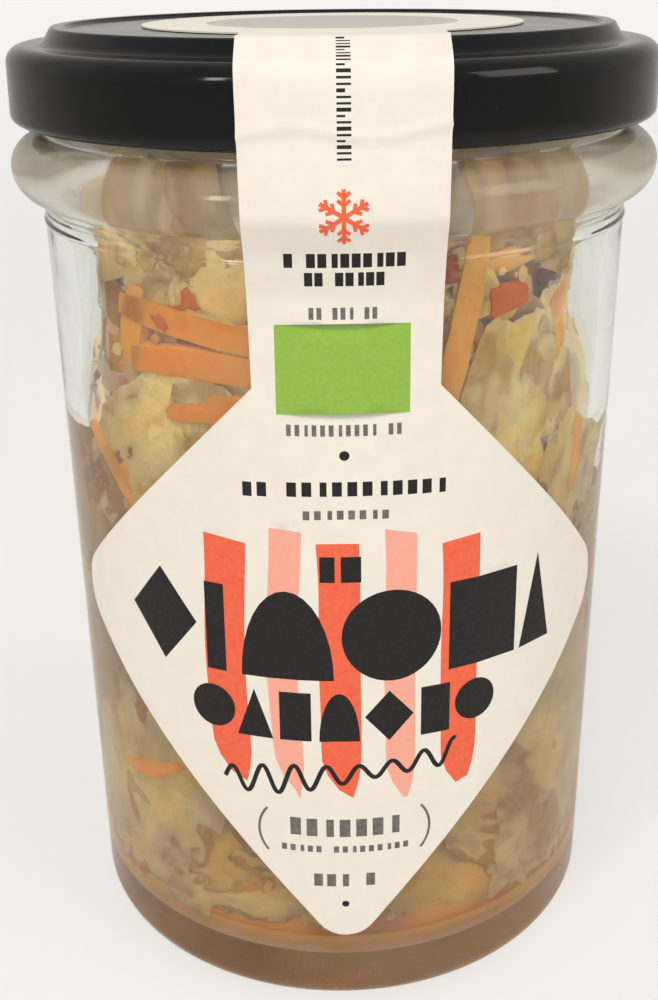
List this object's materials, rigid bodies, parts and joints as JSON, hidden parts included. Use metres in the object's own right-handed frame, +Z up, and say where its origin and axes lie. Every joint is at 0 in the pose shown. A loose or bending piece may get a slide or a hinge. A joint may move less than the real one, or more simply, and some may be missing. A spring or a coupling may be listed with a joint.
{
  "type": "kimchi jar",
  "caption": "Straight-sided glass jar of kimchi with a bead under its neck, a gloss black twist-off metal lid, and a paper strip label that seals the lid and ends in a diamond.",
  "frame": {"origin": "middle of the foot, on the surface that the jar stands on", "axes": "+Z up the jar's axis to the lid; the label faces -Y"},
  "size_m": [0.0702, 0.0704, 0.1045],
  "materials": {
    "jar_glass": "clear soda-lime glass, pressed and blown, smooth",
    "lid_enamel": "tinplate with gloss black enamel",
    "label_paper": "matte uncoated cream paper, printed",
    "brine": "cloudy amber brine",
    "kimchi": "wet shredded cabbage and carrot"
  },
  "bodies": {
    "root": {"jar": "jar_glass", "lid": "lid_enamel", "label": "label_paper", "brine": "brine", "kimchi": "kimchi"}
  },
  "joints": []
}
